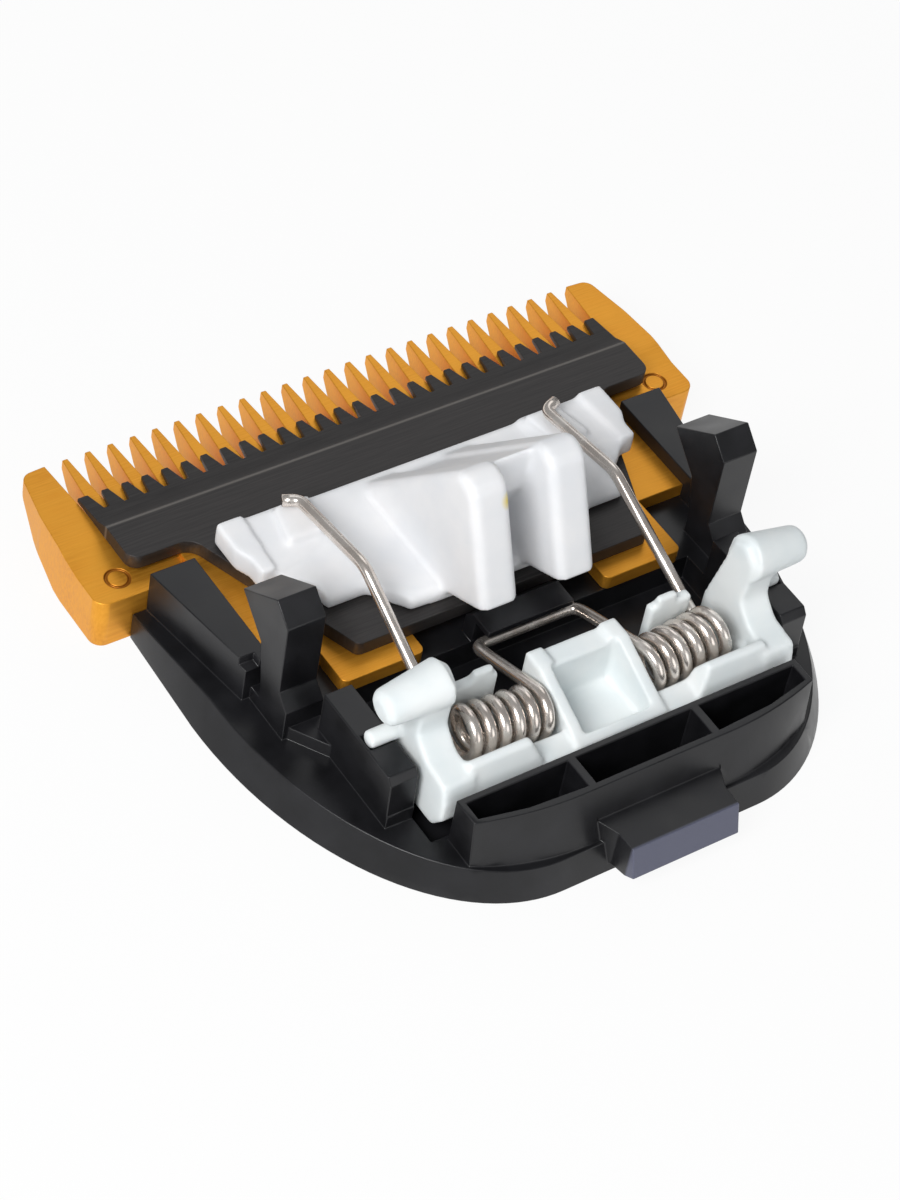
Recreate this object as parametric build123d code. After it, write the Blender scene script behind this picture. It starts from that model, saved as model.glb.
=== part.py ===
from build123d import *
import os
from math import acos, atan2, cos, hypot, pi, sin

os.makedirs("parts", exist_ok=True)

# Driving sizes in millimetres: X along the teeth, Y towards the tips, Z up from the outer face

comb_half_width = 23.4
tip_y = 21.9
comb_back_y = 9.9
slide_z = 4.3
plate_thick = 1.1
plate_half_width = 16.9
plate_back_y = -2.5
tooth_pitch = 1.67
tooth_count = 24
cutter_half_width = 20.35
cutter_tip_y = 18.2
cutter_thick = 1.08
cutter_pitch = 1.47
cutter_gap_count = 27
frame_half_width = 21.2
frame_back_y = -19.8
ledge_z = 2.2
wall_draft = 1.1
block_top_z = 5.85
block_front_y = -14.5
block_half_width = 12.9
block_depth = 3.1
tab_back_y = -21.9
pivot_y = -8.6
pivot_z = 6.6
stub_radius = 0.6
wire_radius = 0.4
coil_mean_radius = 1.5
coil_whole_turns = 5
coil_inner_x = 4.0
coil_outer_x = 9.9
coil_y = -10.4
coil_z = 5.3
coil_rise = 0.35
coil_lead = 0.25
lug_top_z = 16.05

# Clearances

oil_film = 0.02
seat_gap = 0.05
running_gap = 0.06
end_play = 0.1
coil_gap = 0.15
press_gap = 0.1
loop_gap = 0.45
cheek_gap = 0.5


# Shape helpers

def across(points, start, end):
    """Solid from a Y-Z outline, drawn out along X."""
    return extrude(Plane.YZ.offset(start) * make_face(Polyline(*points, close=True)), end - start)


def upright(points, low, high):
    """Solid from a plan outline, drawn up along Z."""
    return extrude(Plane.XY.offset(low) * make_face(Polyline(*points, close=True)), high - low)


def both_sides(solid):
    return solid + mirror(solid, Plane.YZ)


def mirrored_outline(half):
    """Closed plan outline from its right half, listed from front to back."""
    return list(half) + [(-x, y) for x, y in reversed(half)]


def soften(outline, corners):
    """Face with chosen corners rounded; each is given by its place and its radius."""
    face = make_face(Polyline(*outline, close=True))
    for place, radius in corners:
        corner = face.vertices().sort_by_distance(Vector(place[0], place[1], 0))[0]
        face = fillet(corner, radius)
    return face


def soften_both(half, corners):
    """Mirrored plan face; each corner is given by its number in the half outline and its radius."""
    places = [(half[n], radius) for n, radius in corners]
    places += [((-x, y), radius) for (x, y), radius in places]
    return soften(mirrored_outline(half), places)


# Comb blade

pad_z = slide_z - 0.4
prong_tip_x = comb_half_width - 1.7
gap_root_y = tip_y - 5.6
gap_root_width = 0.42
gap_mouth_width = 1.3
plate_step_y = 2.4
plate_tab_x = 13.1
plate_notch_x = 7.0
plate_notch_y = 0.3
ring_radius = 0.85


def build_comb():
    half = [
        (prong_tip_x - 0.85, tip_y),
        (prong_tip_x + 0.75, tip_y - 0.1),
        (comb_half_width - 0.3, tip_y - 3.8),
        (comb_half_width, tip_y - 7.4),
        (comb_half_width, comb_back_y),
    ]
    plan = soften_both(half, [(0, 0.6), (1, 0.8), (2, 6.0), (4, 0.9)])
    section = [
        (comb_back_y, 0),
        (tip_y - 6.4, 0),
        (tip_y - 3.0, slide_z - 3.1),
        (tip_y - 0.8, slide_z - 1.6),
        (tip_y, slide_z - 0.7),
        (tip_y, slide_z),
        (comb_back_y, slide_z),
    ]
    front = extrude(plan, slide_z) & across(section, -comb_half_width, comb_half_width)
    plate_half = [
        (plate_half_width, comb_back_y + 0.5),
        (plate_half_width, plate_step_y),
        (plate_tab_x, plate_step_y),
        (plate_tab_x, plate_back_y),
        (plate_notch_x, plate_back_y),
        (plate_notch_x, plate_notch_y),
    ]
    plate = soften_both(plate_half, [(3, 0.5), (4, 0.5)])
    comb = front + extrude(Plane.XY.offset(slide_z - plate_thick) * plate, plate_thick)
    dip = [
        (comb_back_y - 1, pad_z),
        (comb_back_y + 2.8, pad_z),
        (comb_back_y + 5.3, slide_z),
        (comb_back_y + 5.3, slide_z + 1),
        (comb_back_y - 1, slide_z + 1),
    ]
    comb -= both_sides(across(dip, plate_half_width - 0.25, comb_half_width + 1))
    # Tooth gaps, one more than the teeth
    first = -tooth_pitch * tooth_count / 2
    gap = mirrored_outline([(gap_mouth_width / 2, tip_y + 0.2), (gap_root_width / 2, gap_root_y)])
    cutter = upright(gap, -1, slide_z + 1)
    comb -= [Pos(first + tooth_pitch * i, 0, 0) * cutter for i in range(tooth_count + 1)]
    # Punched ring marks on the pads
    ring_place = Pos(comb_half_width - 2.3, comb_back_y + 1.7, pad_z - 0.15)
    ring = Circle(ring_radius) - Circle(ring_radius - 0.2)
    comb -= both_sides(extrude(ring_place * ring, 1))
    return comb


# Moving blade

cutter_low_z = slide_z + oil_film
cutter_top_z = cutter_low_z + cutter_thick
bar_back_y = 11.4
bar_front_y = 14.6
arm_x = 16.0
cutter_back_x = 11.2
cutter_back_y = -1.0
cutter_gap_root_y = cutter_tip_y - 1.6
pin_x = 9.0
pin_y = 6.0
pin_radius = 1.0


def build_moving_blade():
    half = [
        (cutter_half_width, cutter_tip_y),
        (cutter_half_width, bar_back_y),
        (arm_x, bar_back_y),
        (cutter_back_x, cutter_back_y),
    ]
    plan = soften_both(half, [(1, 0.9), (2, 1.3), (3, 0.6)])
    section = [
        (cutter_back_y - 1, cutter_low_z),
        (cutter_tip_y, cutter_low_z),
        (cutter_tip_y, cutter_low_z + 0.3),
        (bar_front_y + 0.95, cutter_top_z - 0.42),
        (bar_front_y, cutter_top_z),
        (cutter_back_y - 1, cutter_top_z),
    ]
    blade = extrude(Plane.XY.offset(cutter_low_z) * plan, cutter_thick)
    blade &= across(section, -cutter_half_width, cutter_half_width)
    first = -cutter_pitch * (cutter_gap_count - 1) / 2
    gap = mirrored_outline([(0.52, cutter_tip_y + 0.1), (0.18, cutter_gap_root_y)])
    cutter = upright(gap, cutter_low_z - 1, cutter_top_z + 1)
    blade -= [Pos(first + cutter_pitch * i, 0, 0) * cutter for i in range(cutter_gap_count)]
    hole = Pos(pin_x, pin_y, cutter_low_z + cutter_thick / 2) * Cylinder(pin_radius, cutter_thick * 2)
    blade -= both_sides(hole)
    return blade


# Driver

floor_z = cutter_top_z + 1.15
end_z = floor_z + 0.3
rim_z = floor_z + 0.65
seat_z = floor_z + 0.95
driver_half_width = 15.0
driver_front_y = 10.5
driver_back_x = 11.6
driver_back_y = 2.3
plate_edge_y = driver_back_y - 2.5
end_inner_x = 8.2
lug_low_z = floor_z + 1.4
lug_half_width = 4.4
lug_back_y = -4.05
lug_lean = 3.25
lug_top_depth = 1.6
ramp_end_y = driver_front_y - 0.6
slot_half_width = 1.5
slot_end_y = lug_back_y + 5.2
lug_bevel = 0.4


def build_lug():
    """Right lug: a tall wedge with a leaning back and a long slope down to the front."""
    top_back_y = lug_back_y + lug_lean
    outline = [
        (plate_edge_y, cutter_top_z),
        (plate_edge_y, floor_z - 0.4),
        (lug_back_y, lug_low_z),
        (top_back_y, lug_top_z - 0.45),
        (top_back_y + lug_top_depth, lug_top_z),
        (ramp_end_y, floor_z),
        (ramp_end_y, cutter_top_z),
    ]
    lug = across(outline, slot_half_width, lug_half_width)
    return chamfer([edge for edge in lug.edges() if edge.center().Z > lug_low_z + 0.1], lug_bevel)


def build_driver():
    end = [
        (driver_half_width, driver_front_y),
        (driver_half_width, driver_front_y - 2.6),
        (driver_half_width - 0.5, driver_front_y - 3.7),
        (driver_half_width - 0.5, driver_front_y - 5.0),
        (driver_half_width - 1.55, driver_front_y - 5.0),
    ]
    back = [
        (driver_back_x, driver_back_y + 1.6),
        (driver_back_x - 0.1, driver_back_y),
        (driver_back_x - 3.0, driver_back_y),
        (driver_back_x - 4.9, driver_back_y - 2.4),
        (lug_half_width, plate_edge_y),
    ]
    driver = upright(mirrored_outline(end + back), cutter_top_z, floor_z)
    upper = driver.faces().sort_by(Axis.Z)[-1].edges()
    driver = chamfer([edge for edge in upper if edge.center().Y < driver_back_y + 0.1], lug_bevel)
    # Raised ends with a rim outside and a seat for the spring
    inner = [(end_inner_x, driver_front_y - 3.6), (end_inner_x, driver_front_y)]
    driver += both_sides(upright(end + inner, cutter_top_z, end_z))
    driver += both_sides(upright(end + [(driver_half_width - 2, driver_front_y)], cutter_top_z, rim_z))
    seat = [
        (end_inner_x + 2.8, driver_front_y - 0.5),
        (end_inner_x + 3.5, driver_front_y - 3.6),
        (end_inner_x + 0.8, driver_front_y - 3.6),
        (end_inner_x + 0.2, driver_front_y - 0.5),
    ]
    driver += both_sides(upright(seat, cutter_top_z, seat_z))
    # Two lugs and the web that closes the slot between them
    driver += both_sides(build_lug())
    web = [
        (slot_end_y + 1.2, cutter_top_z),
        (slot_end_y + 1.2, lug_low_z + 1.5),
        (slot_end_y, lug_low_z + 4.0),
        (slot_end_y, lug_top_z - 0.7),
        (ramp_end_y - 0.4, floor_z),
        (ramp_end_y - 0.4, cutter_top_z),
    ]
    driver += across(web, -slot_half_width - 0.3, slot_half_width + 0.3)
    pin = Pos(pin_x, pin_y, (cutter_low_z + cutter_top_z) / 2) * Cylinder(pin_radius, cutter_thick)
    driver += both_sides(pin)
    return driver


# Cleaning lever

cheek_inner_x = 11.1
cheek_outer_x = 13.4
stub_end_x = 15.6
paddle_end_x = 15.85
lever_low_z = 2.4
lever_front_y = -7.5
lever_back_y = block_front_y + 0.4
box_half_width = 3.45
box_wall = 0.9
bay_middle_x = (coil_inner_x + coil_outer_x) / 2
coil_seat_radius = coil_mean_radius + wire_radius + coil_gap
coil_start = Vector(coil_inner_x, coil_y, coil_z)
coil_end = Vector(coil_outer_x, coil_y + coil_lead, coil_z + coil_rise)
paddle_y = -9.5
paddle_z = 10.9


def build_lever():
    trough = [
        (lever_front_y, lever_low_z),
        (lever_front_y, lever_low_z + 1.5),
        (lever_back_y + 1.9, coil_z),
        (lever_back_y + 1.4, coil_z),
        (lever_back_y, coil_z - 0.3),
        (lever_back_y, lever_low_z + 1.2),
        (lever_back_y + 0.9, lever_low_z),
    ]
    lever = across(trough, -cheek_outer_x, cheek_outer_x)
    front_wall = [
        (lever_front_y, lever_low_z),
        (lever_front_y, pivot_z + 0.9),
        (lever_front_y - 0.75, pivot_z + 0.9),
        (lever_front_y - 0.75, lever_low_z),
    ]
    lever += both_sides(across(front_wall, bay_middle_x - 1.1, bay_middle_x + 2.1))
    bump = [
        (lever_front_y - 0.1, pivot_z),
        (lever_front_y - 0.2, pivot_z + 1.6),
        (lever_front_y - 0.75, pivot_z + 1.6),
        (lever_front_y - 0.75, pivot_z),
    ]
    lever += both_sides(across(bump, bay_middle_x - 0.7, bay_middle_x + 0.85))
    # Raised lip behind each coil
    lip = [
        (lever_back_y + 1.9, lever_low_z + 1),
        (lever_back_y + 1.9, coil_z + 0.4),
        (lever_back_y + 1.2, coil_z + 1.6),
        (lever_back_y + 0.7, coil_z + 1.6),
        (lever_back_y, coil_z - 0.3),
        (lever_back_y, lever_low_z + 1),
    ]
    lip_end = [
        (bay_middle_x - 1.3, lever_low_z + 1),
        (bay_middle_x - 1.1, coil_z - 0.2),
        (bay_middle_x - 0.2, coil_z + 1.6),
        (cheek_inner_x + 0.2, coil_z + 1.6),
        (cheek_inner_x + 0.2, lever_low_z + 1),
    ]
    lip_end_face = make_face(Polyline(*lip_end, close=True))
    ramp = extrude(Plane.XZ.offset(-lever_front_y) * lip_end_face, lever_front_y - lever_back_y)
    lever += both_sides(across(lip, bay_middle_x - 1.3, cheek_inner_x + 0.2) & ramp)
    along = (coil_end - coil_start).normalized()
    middle = (coil_start + coil_end) * 0.5
    seat_length = (coil_end - coil_start).length + 1.6
    seat = Plane(origin=middle, z_dir=along) * Cylinder(coil_seat_radius, seat_length)
    lever -= both_sides(seat)
    # Open box between the coil bays
    box = [
        (lever_front_y, lever_low_z),
        (lever_front_y, pivot_z + 0.9),
        (lever_front_y - 1.5, pivot_z + 0.9),
        (lever_back_y, coil_z - 0.1),
        (lever_back_y, lever_low_z + 1.2),
        (lever_back_y + 0.9, lever_low_z),
    ]
    lever += across(box, -box_half_width, box_half_width)
    hollow = Pos(0, (lever_front_y + lever_back_y) / 2 - 0.4, lever_low_z + 5.3) * Box(
        2 * (box_half_width - box_wall), lever_front_y - lever_back_y - 2.2, 8
    )
    lever -= hollow
    dip = Pos(0, lever_front_y - 0.7, pivot_z + 1.3) * Box(2 * (box_half_width - 1.3), 1.8, 1.6)
    lever -= dip
    # Cheeks with outward paddles and pivot stubs
    cheek = [
        (lever_front_y + 0.4, lever_low_z + 0.9),
        (lever_front_y + 0.4, coil_z + 0.3),
        (paddle_y + 1.0, paddle_z + 0.8),
        (paddle_y, paddle_z + 1.3),
        (paddle_y - 1.2, paddle_z + 0.4),
        (paddle_y - 1.1, paddle_z - 1.0),
        (paddle_y - 0.9, paddle_z - 3.1),
        (paddle_y - 2.2, paddle_z - 4.2),
        (lever_back_y + 0.3, coil_z + 1.1),
        (lever_back_y, coil_z - 0.3),
        (lever_back_y, lever_low_z + 1.2),
        (lever_back_y + 0.9, lever_low_z),
        (lever_front_y - 0.5, lever_low_z),
    ]
    rounded = [
        (cheek[2], 0.6),
        (cheek[3], 0.6),
        (cheek[4], 0.7),
        (cheek[6], 1.2),
        (cheek[7], 0.8),
        (cheek[8], 0.4),
    ]
    lever += both_sides(
        extrude(Plane.YZ.offset(cheek_inner_x) * soften(cheek, rounded), cheek_outer_x - cheek_inner_x)
    )
    paddle_root = Vector(cheek_inner_x + 0.3, paddle_y, paddle_z)
    reach = Vector(paddle_end_x, paddle_y, paddle_z - 0.5) - paddle_root
    knob = Plane(origin=paddle_root + reach * 0.5, z_dir=reach.normalized()) * Cone(1.6, 1.2, reach.length)
    knob = chamfer(knob.faces().sort_by(Axis.X)[-1].edges(), 0.35)
    lever += both_sides(knob)
    stub = Pos((cheek_inner_x + stub_end_x) / 2, pivot_y, pivot_z) * Rot(0, 90, 0) * Cylinder(
        stub_radius, stub_end_x - cheek_inner_x
    )
    lever += both_sides(stub)
    return lever


# Spring

loop_y = -3.4
loop_z = 4.1
loop_half_width = 3.9
loop_bend = 0.8
wire_bend = 0.5
wire_sides = 8
facet_count = 10
arm_bend = Vector(9.6, 1.8, 9.2)
arm_end = Vector(9.55, 9.3, seat_z + wire_radius + press_gap)
hook_end = Vector(10.6, 9.7, seat_z + wire_radius + press_gap)


def coil_tangent(centre, outside, upper):
    """Angle at which a straight wire from a point outside meets the coil, seen along X."""
    reach_y = outside.Y - centre.Y
    reach_z = outside.Z - centre.Z
    swing = acos(coil_mean_radius / hypot(reach_y, reach_z))
    if not upper:
        swing = -swing
    return atan2(reach_z, reach_y) + swing


def bend_points(before, corner, after, reach):
    """Three points that round a corner of the wire."""
    start = corner + (before - corner).normalized() * reach
    end = corner + (after - corner).normalized() * reach
    return [start, (start + end) * 0.25 + corner * 0.5, end]


def half_wire():
    """Points along the right half of the wire, from the middle of the loop to the end of the arm."""
    loop_corner = Vector(loop_half_width, loop_y, loop_z)
    first = coil_tangent(coil_start, loop_corner, True)
    last = coil_tangent(coil_end, arm_bend, False) + 2 * pi * (coil_whole_turns + 1)
    steps = facet_count * (coil_whole_turns + 1)
    coil = []
    for i in range(steps + 1):
        share = i / steps
        turn = first + (last - first) * share
        centre = coil_start + (coil_end - coil_start) * share
        coil.append(centre + Vector(0, cos(turn), sin(turn)) * coil_mean_radius)
    middle = Vector(0, loop_y, loop_z)
    points = [middle] + bend_points(middle, loop_corner, coil[0], loop_bend) + coil
    points += bend_points(coil[-1], arm_bend, arm_end, wire_bend)
    points += bend_points(arm_bend, arm_end, hook_end, wire_bend)
    return points + [hook_end]


def build_spring():
    right = half_wire()
    path = [Vector(-q.X, q.Y, q.Z) for q in reversed(right[1:])] + right
    heading = [(b - a).normalized() for a, b in zip(path, path[1:])]
    across_x = heading[0].cross(Vector(0, 0, 1)).normalized()
    across_z = across_x.cross(heading[0])
    angles = [2 * pi * k / wire_sides for k in range(wire_sides)]
    rings = [[path[0] + (across_x * cos(t) + across_z * sin(t)) * wire_radius for t in angles]]
    # Each flat of the wire runs straight on to the mitre plane at the next bend
    for i in range(1, len(path)):
        mitre = (heading[i - 1] + heading[min(i, len(heading) - 1)]).normalized()
        travel = heading[i - 1]
        slope = travel.dot(mitre)
        rings.append([q + travel * ((path[i] - q).dot(mitre) / slope) for q in rings[-1]])
    faces = [Face(Wire.make_polygon(rings[-1])), Face(Wire.make_polygon(list(reversed(rings[0]))))]
    for near, far in zip(rings, rings[1:]):
        for k in range(wire_sides):
            n = (k + 1) % wire_sides
            faces.append(Face(Wire.make_polygon([near[k], near[n], far[n], far[k]])))
    return Solid(Shell(faces))


# Frame

frame_front_y = comb_back_y - seat_gap
frame_front_x = 20.9
shoulder_x = 7.5
shoulder_y = 1.5
plate_seat_z = slide_z - plate_thick
cavity_half_width = cheek_outer_x + cheek_gap
cavity_floor_z = 1.2
cavity_front_y = plate_back_y + 0.1
wall_outer_x = cavity_half_width + 2.0
wall_top_z = pivot_z - 0.2
wall_back_y = -12.1
wall_front_y = -4.2
rail_top_z = 5.45
rail_inner_x = plate_half_width - 0.25
rail_outer_x = 19.9
rail_back_y = 0.6
post_inner_x = 15.1
post_outer_x = 17.85
pocket_rim = 0.45
tab_root_x = 4.7


def tray_outline(side_x, back_y):
    right = Line((frame_front_x, frame_front_y), (side_x, shoulder_y))
    bend = EllipticalCenterArc(
        (shoulder_x, shoulder_y), side_x - shoulder_x, shoulder_y - back_y, start_angle=-90, arc_size=90
    )
    back = Line((shoulder_x, back_y), (-shoulder_x, back_y))
    front = Line((-frame_front_x, frame_front_y), (frame_front_x, frame_front_y))
    return make_face([right, bend, back, mirror(bend, Plane.YZ), mirror(right, Plane.YZ), front])


def block_outline(depth, corner_depth):
    """Plan of the rear block at one height, from its depth in the middle and at its corners."""
    back_y = block_front_y - depth
    corner_y = block_front_y - corner_depth
    middle_y = back_y + (corner_y - back_y) * 0.26
    flat_x = tab_root_x
    right = Line((block_half_width, block_front_y), (block_half_width, corner_y))
    middle = ((block_half_width + flat_x) / 2 + 0.5, middle_y)
    bend = ThreePointArc((block_half_width, corner_y), middle, (flat_x, back_y))
    back = Line((flat_x, back_y), (-flat_x, back_y))
    front = Line((-block_half_width, block_front_y), (block_half_width, block_front_y))
    return make_face([right, bend, back, mirror(bend, Plane.YZ), mirror(right, Plane.YZ), front])


def build_frame():
    top_back_y = frame_back_y + 0.7
    frame = loft(
        [
            tray_outline(frame_half_width, frame_back_y),
            Pos(0, 0, ledge_z) * tray_outline(frame_half_width - wall_draft, top_back_y),
        ],
        ruled=True,
    )
    # Rear block with sloping back
    frame += loft(
        [
            Pos(0, 0, ledge_z - 0.2) * block_outline(block_depth + 1.3, 2.4),
            Pos(0, 0, block_top_z) * block_outline(block_depth, 2.0),
        ],
        ruled=True,
    )
    # Raised middle, rails and side walls
    raised = [
        (post_outer_x, frame_front_y),
        (post_outer_x, -2.8),
        (wall_outer_x, -5.8),
        (wall_outer_x, wall_back_y),
    ]
    frame += upright(mirrored_outline(raised), ledge_z - 0.5, plate_seat_z)
    rail = [
        (rail_outer_x, frame_front_y),
        (rail_outer_x - 1.5, rail_back_y),
        (rail_inner_x, rail_back_y),
        (rail_inner_x, frame_front_y),
    ]
    frame += both_sides(upright(rail, ledge_z - 0.5, rail_top_z))
    notch = Pos(rail_outer_x - 1.9, rail_back_y, rail_top_z) * Box(1.1, 1.4, 1.2)
    frame -= both_sides(notch)
    wall = [
        (wall_front_y, ledge_z - 0.5),
        (wall_front_y, wall_top_z),
        (wall_back_y + 0.6, wall_top_z),
        (wall_back_y + 0.2, wall_top_z - 0.5),
        (wall_back_y, ledge_z - 0.5),
    ]
    frame += both_sides(across(wall, cavity_half_width, wall_outer_x))
    groove = Pos(0, (comb_back_y + plate_step_y) / 2, slide_z - plate_thick / 2) * Box(
        2 * plate_half_width + seat_gap, comb_back_y - plate_step_y + 0.1, plate_thick
    )
    frame -= groove
    # Cranked snap posts
    post = [
        (-3.3, ledge_z - 0.5),
        (-3.3, 4.6),
        (-2.3, 5.6),
        (-2.2, 11.1),
        (-0.75, 12.4),
        (2.8, 10.0),
        (0.3, 7.7),
        (-0.3, 4.2),
        (-0.3, ledge_z - 0.5),
    ]
    frame += both_sides(across(post, post_inner_x, post_outer_x))
    # Cavity under the lever, pockets of the block and bearing notches
    cavity = Pos(0, (block_front_y + 0.3 + cavity_front_y) / 2, cavity_floor_z + 5) * Box(
        2 * cavity_half_width, cavity_front_y - block_front_y - 0.3, 10
    )
    frame -= cavity
    pocket_back_y = block_front_y - block_depth + pocket_rim
    side_pocket = [
        (block_half_width - pocket_rim, block_front_y - pocket_rim),
        (block_half_width - pocket_rim, pocket_back_y + 0.9),
        ((block_half_width + tab_root_x) / 2 + 0.4, pocket_back_y + 0.25),
        (tab_root_x + 0.3, pocket_back_y),
        (tab_root_x + 0.3, block_front_y - pocket_rim),
    ]
    middle_pocket = mirrored_outline(
        [(tab_root_x - 0.3, block_front_y - pocket_rim), (tab_root_x - 0.3, pocket_back_y)]
    )
    frame -= both_sides(upright(side_pocket, cavity_floor_z, block_top_z + 1))
    frame -= upright(middle_pocket, cavity_floor_z, block_top_z + 1)
    bearing = Pos(stub_end_x + end_play, pivot_y, pivot_z) * Rot(0, 90, 0) * Cylinder(
        stub_radius + running_gap, 3, align=(Align.CENTER, Align.CENTER, Align.MAX)
    )
    frame -= both_sides(bearing)
    # Cross-bar that holds the spring's loop down
    bar_low_z = loop_z + wire_radius + loop_gap
    bar = [
        (cutter_back_y - 0.3, cavity_floor_z),
        (cutter_back_y - 0.3, bar_low_z - 0.2),
        (cutter_back_y - 1.0, bar_low_z + 0.5),
        (loop_y - 0.45, bar_low_z + 0.5),
        (loop_y - 0.45, bar_low_z),
        (cavity_front_y, bar_low_z),
        (cavity_front_y, cavity_floor_z),
    ]
    frame += across(bar, -loop_half_width + 0.6, loop_half_width - 0.6)
    # Latch tab
    tab_side = [
        (frame_back_y + 1.9, 3.65),
        (tab_back_y + 0.65, 3.65),
        (tab_back_y, 1.5),
        (tab_back_y + 0.8, 1.0),
        (frame_back_y + 0.4, 0.6),
        (frame_back_y + 1.9, 0.6),
    ]
    tab_plan = [
        (tab_root_x, frame_back_y + 2),
        (tab_root_x, frame_back_y + 1.4),
        (tab_root_x - 0.6, frame_back_y),
        (tab_root_x - 0.65, tab_back_y - 0.1),
    ]
    frame += across(tab_side, -5, 5) & upright(mirrored_outline(tab_plan), 0, 5)
    return frame


export_step(build_comb(), "parts/comb_blade.step")
export_step(build_moving_blade(), "parts/moving_blade.step")
export_step(build_driver(), "parts/driver.step")
export_step(build_lever(), "parts/lever.step")
export_step(build_spring(), "parts/spring.step")
export_step(build_frame(), "parts/frame.step")
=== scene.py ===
from math import acos, atan2, cos, hypot, pi, radians, sin

import bpy
from mathutils import Matrix, Vector


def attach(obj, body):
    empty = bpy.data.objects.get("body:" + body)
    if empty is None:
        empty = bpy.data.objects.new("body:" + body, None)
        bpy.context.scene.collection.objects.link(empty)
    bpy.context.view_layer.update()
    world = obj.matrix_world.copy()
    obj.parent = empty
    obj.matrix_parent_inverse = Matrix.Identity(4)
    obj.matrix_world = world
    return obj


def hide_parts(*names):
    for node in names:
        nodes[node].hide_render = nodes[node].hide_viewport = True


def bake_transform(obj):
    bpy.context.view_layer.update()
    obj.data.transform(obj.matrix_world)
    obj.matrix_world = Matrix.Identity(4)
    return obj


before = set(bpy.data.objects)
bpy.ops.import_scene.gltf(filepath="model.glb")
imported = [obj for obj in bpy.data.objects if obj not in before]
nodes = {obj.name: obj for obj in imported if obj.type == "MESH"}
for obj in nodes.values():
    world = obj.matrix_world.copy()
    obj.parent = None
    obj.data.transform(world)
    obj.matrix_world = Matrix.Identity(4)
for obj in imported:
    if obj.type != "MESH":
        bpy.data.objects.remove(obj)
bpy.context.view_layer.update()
MM = 0.001


# Material helpers

class Paint:
    """A procedural material under construction, in object coordinates, with sizes in millimetres."""

    def __init__(self, name, colour, metallic=0.0, roughness=0.4, specular=0.5):
        self.material = bpy.data.materials.new(name)
        self.material.use_nodes = True
        self.material.diffuse_color = (*colour, 1.0)
        self.tree = self.material.node_tree
        self.shader = self.tree.nodes["Principled BSDF"]
        self.shader.inputs["Base Color"].default_value = (*colour, 1.0)
        self.shader.inputs["Metallic"].default_value = metallic
        self.shader.inputs["Roughness"].default_value = roughness
        self.shader.inputs["Specular IOR Level"].default_value = specular
        coordinates = self.node("ShaderNodeTexCoord")
        self.place = coordinates.outputs["Object"]

    def node(self, kind, **settings):
        made = self.tree.nodes.new(kind)
        for key, value in settings.items():
            setattr(made, key, value)
        return made

    def link(self, source, target):
        self.tree.links.new(source, target)

    def stretched(self, per_mm):
        """Object position times a count per millimetre along each axis, for a noise."""
        mapping = self.node("ShaderNodeMapping")
        mapping.inputs["Scale"].default_value = [count / MM for count in per_mm]
        self.link(self.place, mapping.inputs["Vector"])
        return mapping.outputs["Vector"]

    def noise(self, per_mm, detail=3.0, rough=0.5):
        made = self.node("ShaderNodeTexNoise")
        made.inputs["Scale"].default_value = 1.0
        made.inputs["Detail"].default_value = detail
        made.inputs["Roughness"].default_value = rough
        self.link(self.stretched(per_mm), made.inputs["Vector"])
        return made.outputs["Fac"]

    def spread(self, value, low, high, to_low=0.0, to_high=1.0):
        made = self.node("ShaderNodeMapRange")
        made.inputs["From Min"].default_value = low
        made.inputs["From Max"].default_value = high
        made.inputs["To Min"].default_value = to_low
        made.inputs["To Max"].default_value = to_high
        self.link(value, made.inputs["Value"])
        return made.outputs["Result"]

    def mix(self, share, first, second):
        """Colour between two, each given as a colour or as a socket."""
        made = self.node("ShaderNodeMix", data_type="RGBA")
        self.link(share, made.inputs["Factor"])
        for index, colour in ((6, first), (7, second)):
            if isinstance(colour, tuple):
                made.inputs[index].default_value = (*colour, 1.0)
            else:
                self.link(colour, made.inputs[index])
        return made.outputs[2]

    def distance(self, centre):
        """Distance from a point given in millimetres."""
        away = self.node("ShaderNodeVectorMath", operation="DISTANCE")
        self.link(self.place, away.inputs[0])
        away.inputs[1].default_value = [value * MM for value in centre]
        return away.outputs["Value"]

    def near(self, centre, radius, soft):
        """One up to a share of the radius from a point, and nothing beyond the radius."""
        return self.spread(self.distance(centre), radius * soft * MM, radius * MM, 1.0, 0.0)

    def band(self, value, low, high, soft):
        """One between two limits in millimetres, fading out on both sides."""
        return self.product(
            self.spread(value, (low - soft) * MM, low * MM),
            self.spread(value, high * MM, (high + soft) * MM, 1.0, 0.0),
        )

    def axis(self, name):
        parts = self.node("ShaderNodeSeparateXYZ")
        self.link(self.place, parts.inputs["Vector"])
        return parts.outputs[name]

    def product(self, first, second):
        made = self.node("ShaderNodeMath", operation="MULTIPLY")
        self.link(first, made.inputs[0])
        self.link(second, made.inputs[1])
        return made.outputs[0]

    def colour(self, socket):
        self.link(socket, self.shader.inputs["Base Color"])

    def roughness(self, socket):
        self.link(socket, self.shader.inputs["Roughness"])

    def bump(self, height, depth_mm, strength=1.0):
        made = self.node("ShaderNodeBump")
        made.inputs["Distance"].default_value = depth_mm * MM
        made.inputs["Strength"].default_value = strength
        self.link(height, made.inputs["Height"])
        self.link(made.outputs["Normal"], self.shader.inputs["Normal"])


# Materials, with places and widths in millimetres

RING_MARK = (21.1, 11.6, 3.9)
RING_INNER = 0.66
RING_OUTER = 0.85
RING_SOFT = 0.06
BLADE_EDGE_Y = (14.55, 14.62)
BLADE_EDGE_SOFT = 0.13
TAB_FACE_Y = (-21.25, -21.05)
GREASE_SPOT = (-1.65, -1.3, 14.3)
GREASE_RADIUS = 0.7
GREASE_SOFT = 0.2


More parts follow.
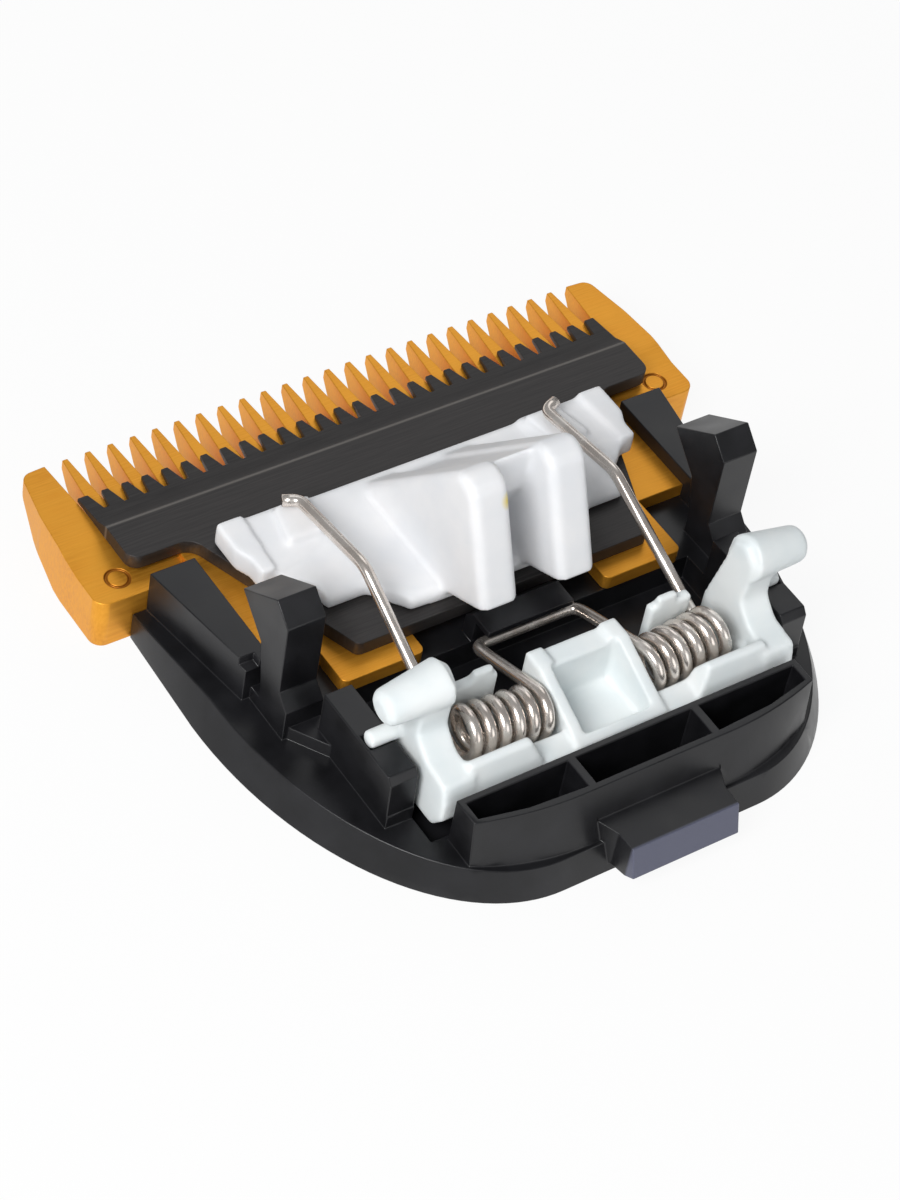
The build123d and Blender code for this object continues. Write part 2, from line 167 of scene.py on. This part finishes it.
def gold_steel():
    paint = Paint("gold_coated_steel", (0.8, 0.34, 0.03), metallic=0.75, roughness=0.44)
    cloud = paint.noise((0.25, 0.25, 0.25), detail=2.0)
    lines = paint.noise((0.4, 9.0, 3.0), detail=4.0)
    tone = paint.mix(paint.spread(cloud, 0.3, 0.7), (0.75, 0.3, 0.024), (0.83, 0.36, 0.032))
    tone = paint.mix(paint.spread(lines, 0.35, 0.7), tone, (0.88, 0.41, 0.045))
    # Painted shade in the punched ring grooves of the pads, a darker band round each ring
    for side in (-1, 1):
        centre = (side * RING_MARK[0], *RING_MARK[1:])
        ring_groove_shade = paint.band(paint.distance(centre), RING_INNER, RING_OUTER, RING_SOFT)
        tone = paint.mix(ring_groove_shade, tone, (0.42, 0.15, 0.014))
    paint.colour(tone)
    paint.roughness(paint.spread(lines, 0.3, 0.75, 0.38, 0.52))
    paint.bump(lines, 0.004, 0.35)
    return paint.material


def black_steel():
    paint = Paint("black_coated_steel", (0.04, 0.036, 0.034), metallic=0.4, roughness=0.45, specular=0.4)
    lines = paint.noise((0.3, 8.0, 3.0), detail=4.0)
    tone = paint.mix(paint.spread(lines, 0.3, 0.75), (0.026, 0.024, 0.024), (0.052, 0.048, 0.047))
    # Painted highlight along the edge of the front bevel, also standing for coating worn bright there
    bevel_highlight_and_wear = paint.band(paint.axis("Y"), *BLADE_EDGE_Y, BLADE_EDGE_SOFT)
    paint.colour(paint.mix(bevel_highlight_and_wear, tone, (0.14, 0.13, 0.12)))
    paint.roughness(paint.spread(lines, 0.3, 0.75, 0.38, 0.52))
    paint.bump(lines, 0.004, 0.4)
    return paint.material


def black_plastic():
    paint = Paint("black_moulded_plastic", (0.008, 0.008, 0.009), roughness=0.34, specular=0.4)
    grain = paint.noise((6.0, 6.0, 6.0), detail=3.0)
    cloud = paint.noise((0.4, 0.4, 0.4), detail=3.0)
    tone = paint.mix(paint.spread(cloud, 0.35, 0.7), (0.006, 0.006, 0.007), (0.012, 0.012, 0.014))
    # Painted sheen on the outer face of the latch tab, a lighter violet-grey than the black plastic
    tab_face_sheen = paint.spread(paint.axis("Y"), TAB_FACE_Y[0] * MM, TAB_FACE_Y[1] * MM, 1.0, 0.0)
    paint.colour(paint.mix(tab_face_sheen, tone, (0.09, 0.095, 0.14)))
    paint.roughness(paint.spread(cloud, 0.3, 0.7, 0.28, 0.4))
    paint.bump(grain, 0.005, 0.3)
    return paint.material


def white_plastic(name, low, high, greased=False):
    paint = Paint(name, high, roughness=0.42, specular=0.4)
    cloud = paint.noise((0.3, 0.3, 0.3), detail=3.0)
    grain = paint.noise((7.0, 7.0, 7.0), detail=2.0)
    tone = paint.mix(paint.spread(cloud, 0.35, 0.65), low, high)
    if greased:
        stain = paint.near(GREASE_SPOT, GREASE_RADIUS, GREASE_SOFT)
        tone = paint.mix(stain, tone, (0.85, 0.66, 0.08))
    paint.colour(tone)
    paint.roughness(paint.spread(grain, 0.3, 0.7, 0.38, 0.5))
    paint.bump(grain, 0.004, 0.3)
    paint.shader.inputs["Subsurface Weight"].default_value = 0.15
    paint.shader.inputs["Subsurface Radius"].default_value = (1.0, 0.95, 0.9)
    paint.shader.inputs["Subsurface Scale"].default_value = 0.8 * MM
    return paint.material


def spring_steel():
    paint = Paint("drawn_spring_wire", (0.66, 0.59, 0.54), metallic=0.9, roughness=0.24)
    cloud = paint.noise((0.7, 0.7, 0.7), detail=3.0)
    paint.colour(paint.mix(paint.spread(cloud, 0.3, 0.7), (0.66, 0.58, 0.52), (0.84, 0.79, 0.74)))
    paint.roughness(paint.spread(cloud, 0.3, 0.7, 0.2, 0.3))
    return paint.material


# Finish of the nodes that stay

BEVEL_SEGMENTS = 2
SHARP_EDGE = radians(20)
FLAT_ENOUGH = radians(0.6)
SAME_PLACE = 1e-6


def paint_node(name, material):
    """Gives a node its material and smooth shading."""
    node = nodes[name]
    node.data.materials.clear()
    node.data.materials.append(material)
    node.data.shade_smooth()
    return node


def dress(name, material, bevel_mm):
    """Gives a node its material and a small round on its sharp edges."""
    node = paint_node(name, material)
    weld = node.modifiers.new("weld", "WELD")
    weld.merge_threshold = SAME_PLACE
    flat = node.modifiers.new("flat", "DECIMATE")
    flat.decimate_type = "DISSOLVE"
    flat.angle_limit = FLAT_ENOUGH
    bevel = node.modifiers.new("bevel", "BEVEL")
    bevel.width = bevel_mm * MM
    bevel.segments = BEVEL_SEGMENTS
    bevel.limit_method = "ANGLE"
    bevel.angle_limit = SHARP_EDGE
    bevel.use_clamp_overlap = False
    even = node.modifiers.new("even", "WEIGHTED_NORMAL")
    even.weight = 100


def soften(name, material, grain_mm, passes):
    """Gives a moulded node its material and rounds all its edges."""
    node = paint_node(name, material)
    even = node.modifiers.new("even", "REMESH")
    even.mode = "VOXEL"
    even.voxel_size = grain_mm * MM
    even.use_smooth_shade = True
    smooth = node.modifiers.new("smooth", "SMOOTH")
    smooth.factor = 0.5
    smooth.iterations = passes


GOLD = gold_steel()
BLACK_STEEL = black_steel()
BLACK_PLASTIC = black_plastic()
DRIVER_WHITE = white_plastic("driver_white_plastic", (0.77, 0.78, 0.8), (0.82, 0.82, 0.83), greased=True)
LEVER_WHITE = white_plastic("lever_white_plastic", (0.72, 0.77, 0.78), (0.79, 0.82, 0.82))
SPRING_STEEL = spring_steel()

dress("frame", BLACK_PLASTIC, 0.08)
dress("comb_blade", GOLD, 0.06)
dress("moving_blade", BLACK_STEEL, 0.05)
soften("driver", DRIVER_WHITE, 0.16, 16)
soften("lever", LEVER_WHITE, 0.16, 8)


# Round spring wire, in millimetres until the mesh is made

WIRE_RADIUS = 0.4
WIRE_SIDES = 14
COIL_RADIUS = 1.5
COIL_TURNS = 5
COIL_START = Vector((4.0, -10.4, 5.3))
COIL_END = Vector((9.9, -10.15, 5.65))
COIL_STEPS = 34
LOOP_CORNER = Vector((3.9, -3.4, 4.1))
ARM_BEND = Vector((9.6, 1.8, 9.2))
ARM_END = Vector((9.55, 9.3, 8.0))
HOOK_END = Vector((10.6, 9.7, 8.0))


def coil_tangent(centre, outside, upper):
    """Angle at which a straight wire from a point outside meets the coil, seen along X."""
    reach_y = outside.y - centre.y
    reach_z = outside.z - centre.z
    swing = acos(COIL_RADIUS / hypot(reach_y, reach_z))
    return atan2(reach_z, reach_y) + (swing if upper else -swing)


def corner_arc(before, corner, after, reach, steps=8):
    """Points of a smooth bend at a corner."""
    start = corner + (before - corner).normalized() * reach
    end = corner + (after - corner).normalized() * reach
    points = []
    for i in range(steps + 1):
        share = i / steps
        points.append(start * (1 - share) ** 2 + corner * 2 * share * (1 - share) + end * share ** 2)
    return points


def straight(start, end, steps):
    return [start.lerp(end, i / steps) for i in range(steps)]


def wire_runs():
    """Centre lines of the right half: the loop, the coil and the arm."""
    first = coil_tangent(COIL_START, LOOP_CORNER, True)
    last = coil_tangent(COIL_END, ARM_BEND, False) + 2 * pi * (COIL_TURNS + 1)
    count = COIL_STEPS * (COIL_TURNS + 1)
    coil = []
    for i in range(count + 1):
        share = i / count
        turn = first + (last - first) * share
        centre = COIL_START.lerp(COIL_END, share)
        coil.append(centre + Vector((0, cos(turn), sin(turn))) * COIL_RADIUS)
    middle = Vector((0, LOOP_CORNER.y, LOOP_CORNER.z))
    bend = corner_arc(middle, LOOP_CORNER, coil[0], 0.9)
    loop = straight(middle, bend[0], 8) + bend + straight(bend[-1], coil[0], 14)[1:] + [coil[0]]
    knee = corner_arc(coil[-1], ARM_BEND, ARM_END, 0.7)
    hook = corner_arc(ARM_BEND, ARM_END, HOOK_END, 0.6)
    arm = straight(coil[-1], knee[0], 24) + knee
    arm += straight(knee[-1], hook[0], 14)[1:] + hook + [HOOK_END]
    return loop, coil, arm


def tube_rings(path):
    """Rings of points round a centre line, carried along without twist."""
    headings = []
    for i in range(len(path)):
        before = path[max(i - 1, 0)]
        after = path[min(i + 1, len(path) - 1)]
        headings.append((after - before).normalized())
    side = headings[0].cross(Vector((0, 0, 1))).normalized()
    rings = []
    for point, heading in zip(path, headings):
        side = (side - heading * side.dot(heading)).normalized()
        up = heading.cross(side)
        rings.append([
            point + (side * cos(2 * pi * k / WIRE_SIDES) + up * sin(2 * pi * k / WIRE_SIDES)) * WIRE_RADIUS
            for k in range(WIRE_SIDES)
        ])
    return rings


def tube_piece(name, rings, cap_start=False, cap_end=False):
    """Mesh of a run of wire from its rings."""
    points = [point * MM for ring in rings for point in ring]
    faces = []
    for i in range(len(rings) - 1):
        for k in range(WIRE_SIDES):
            n = (k + 1) % WIRE_SIDES
            faces.append((
                i * WIRE_SIDES + k, i * WIRE_SIDES + n,
                (i + 1) * WIRE_SIDES + n, (i + 1) * WIRE_SIDES + k,
            ))
    if cap_start:
        faces.append(tuple(reversed(range(WIRE_SIDES))))
    if cap_end:
        last = (len(rings) - 1) * WIRE_SIDES
        faces.append(tuple(range(last, last + WIRE_SIDES)))
    mesh = bpy.data.meshes.new(name)
    mesh.from_pydata(points, [], faces)
    mesh.materials.append(SPRING_STEEL)
    mesh.shade_smooth()
    piece = bpy.data.objects.new(name, mesh)
    bpy.context.scene.collection.objects.link(piece)
    return piece


def build_spring():
    loop, coil, arm = wire_runs()
    half = loop + coil[1:] + arm[1:]
    mirrored = [Vector((-p.x, p.y, p.z)) for p in reversed(half[1:])]
    rings = tube_rings(mirrored + half)
    total = len(rings)
    arm_end = len(arm)
    coil_end = arm_end + len(coil) - 1
    pieces = {
        "spring_arm_left": tube_piece("spring_arm_left", rings[:arm_end], cap_start=True),
        "spring_coil_left": tube_piece("spring_coil_left", rings[arm_end - 1:coil_end]),
        "spring_loop": tube_piece("spring_loop", rings[coil_end - 1:total - coil_end + 1]),
        "spring_coil_right": tube_piece("spring_coil_right", rings[total - coil_end:total - arm_end + 1]),
        "spring_arm_right": tube_piece("spring_arm_right", rings[total - arm_end:], cap_end=True),
    }
    for name, piece in pieces.items():
        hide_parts("spring")
        if "coil" in name:
            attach(piece, "lever_unit")
        elif "arm" in name:
            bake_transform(piece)
        else:
            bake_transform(piece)


build_spring()


# Stage, light and camera

IMAGE_WIDTH = 900
FOCAL_PX = 3438.77
CAMERA_PLACE = Vector((-103.921, -111.769, 162.176)) * MM
CAMERA_RIGHT = Vector((0.82693, -0.54453, 0.14027))
CAMERA_UP = Vector((0.32169, 0.66273, 0.67624))
CAMERA_AHEAD = Vector((0.46119, 0.51408, -0.72320))
FLOOR_REACH = 1.5
FLOOR_GAP = 0.00002
FLOOR_WHITE_SHARE = 0.92
LAMP_AIM = Vector((0, 0, 5)) * MM


def build_camera():
    data = bpy.data.cameras.new("camera")
    data.sensor_width = 36.0
    data.sensor_fit = "HORIZONTAL"
    data.lens = FOCAL_PX / IMAGE_WIDTH * data.sensor_width
    data.clip_start = 0.005
    camera = bpy.data.objects.new("camera", data)
    bpy.context.scene.collection.objects.link(camera)
    turn = Matrix((CAMERA_RIGHT, CAMERA_UP, -CAMERA_AHEAD)).transposed()
    camera.matrix_world = Matrix.Translation(CAMERA_PLACE) @ turn.to_4x4()
    bpy.context.scene.camera = camera


def paper_white(tree, share, shader):
    """Mixes plain white into what the camera and reflections see of the floor, like white paper."""
    white = tree.nodes.new("ShaderNodeEmission")
    blend = tree.nodes.new("ShaderNodeMixShader")
    path = tree.nodes.new("ShaderNodeLightPath")
    seen = path.outputs["Is Camera Ray"]
    for ray in ("Is Glossy Ray", "Is Transmission Ray"):
        either = tree.nodes.new("ShaderNodeMath")
        either.operation = "MAXIMUM"
        tree.links.new(seen, either.inputs[0])
        tree.links.new(path.outputs[ray], either.inputs[1])
        seen = either.outputs[0]
    scaled = tree.nodes.new("ShaderNodeMath")
    scaled.operation = "MULTIPLY"
    scaled.inputs[1].default_value = share
    tree.links.new(seen, scaled.inputs[0])
    tree.links.new(scaled.outputs[0], blend.inputs["Fac"])
    tree.links.new(shader.outputs[0], blend.inputs[1])
    tree.links.new(white.outputs[0], blend.inputs[2])
    tree.links.new(blend.outputs["Shader"], tree.nodes["Material Output"].inputs["Surface"])


def build_floor():
    mesh = bpy.data.meshes.new("floor")
    corners = [(x * FLOOR_REACH, y * FLOOR_REACH, 0) for x, y in ((-1, -1), (1, -1), (1, 1), (-1, 1))]
    mesh.from_pydata(corners, [], [(0, 1, 2, 3)])
    floor = bpy.data.objects.new("floor", mesh)
    floor.location.z = -FLOOR_GAP
    bpy.context.scene.collection.objects.link(floor)
    material = bpy.data.materials.new("pale_floor")
    material.use_nodes = True
    shader = material.node_tree.nodes["Principled BSDF"]
    shader.inputs["Base Color"].default_value = (0.8, 0.8, 0.8, 1.0)
    shader.inputs["Roughness"].default_value = 0.9
    shader.inputs["Specular IOR Level"].default_value = 0.1
    paper_white(material.node_tree, FLOOR_WHITE_SHARE, shader)
    mesh.materials.append(material)


def build_world():
    world = bpy.data.worlds.new("studio")
    bpy.context.scene.world = world
    world.use_nodes = True
    light = world.node_tree.nodes["Background"]
    light.inputs["Color"].default_value = (0.96, 0.98, 1.0, 1.0)
    light.inputs["Strength"].default_value = 0.3


def softbox(name, place_mm, size_mm, watts):
    """A round soft lamp aimed at the part."""
    data = bpy.data.lights.new(name, "AREA")
    data.shape = "DISK"
    data.size = size_mm * MM
    data.energy = watts
    lamp = bpy.data.objects.new(name, data)
    place = Vector(place_mm) * MM
    lamp.location = place
    lamp.rotation_euler = (LAMP_AIM - place).to_track_quat("-Z", "Y").to_euler()
    bpy.context.scene.collection.objects.link(lamp)


build_camera()
build_floor()
build_world()
softbox("key", (-230, -95, 230), 180, 1.0)
softbox("fill", (60, -330, 120), 260, 0.22)
softbox("back", (150, 170, 240), 200, 0.1)
bpy.context.scene.view_settings.view_transform = "Standard"
